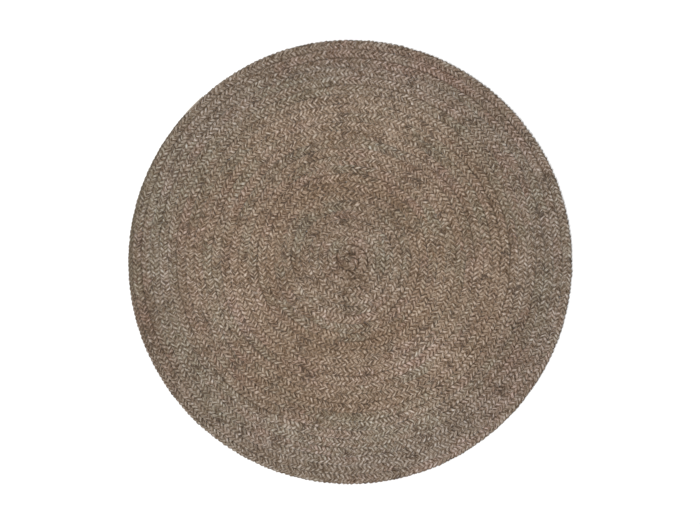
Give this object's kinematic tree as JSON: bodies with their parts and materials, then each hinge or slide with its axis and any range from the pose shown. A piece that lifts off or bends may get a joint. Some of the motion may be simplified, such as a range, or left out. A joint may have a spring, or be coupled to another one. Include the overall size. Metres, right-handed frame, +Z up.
{
  "type": "round braided jute rug",
  "caption": "Round flat area rug made of one wide three-strand natural-fibre braid, wound into a spiral and laced edge to edge, with a circular rim.",
  "frame": {"origin": "middle of the circle of the rim, on the underside that lies on the floor", "axes": "+Z up through the thickness; X through the two centres that the spiral is struck from; the braid starts at the middle and runs clockwise as it goes outwards, seen from above"},
  "size_m": [1.2, 1.1999, 0.01],
  "materials": {
    "jute_braid": "matt coarse jute yarn, undyed, mottled from pinkish tan to greenish grey with dark brown flecks",
    "jute_thread": "matt twisted jute sewing thread, undyed"
  },
  "bodies": {
    "root": {"start_tuck": "jute_braid", "round_01": "jute_braid", "round_02": "jute_braid", "round_03": "jute_braid", "round_04": "jute_braid", "round_05": "jute_braid", "round_06": "jute_braid", "round_07": "jute_braid", "round_08": "jute_braid", "round_09": "jute_braid", "round_10": "jute_braid", "round_11": "jute_braid", "round_12": "jute_braid", "round_13": "jute_braid", "round_14": "jute_braid", "round_15": "jute_braid", "round_16": "jute_braid", "round_17": "jute_braid", "round_18": "jute_braid", "round_19": "jute_braid", "round_20": "jute_braid", "round_21": "jute_braid", "round_22": "jute_braid", "round_23": "jute_braid", "round_24": "jute_braid", "round_25": "jute_braid", "braid_tail": "jute_braid", "tail_binding": "jute_thread", "lacing_thread": "jute_thread"}
  },
  "joints": []
}
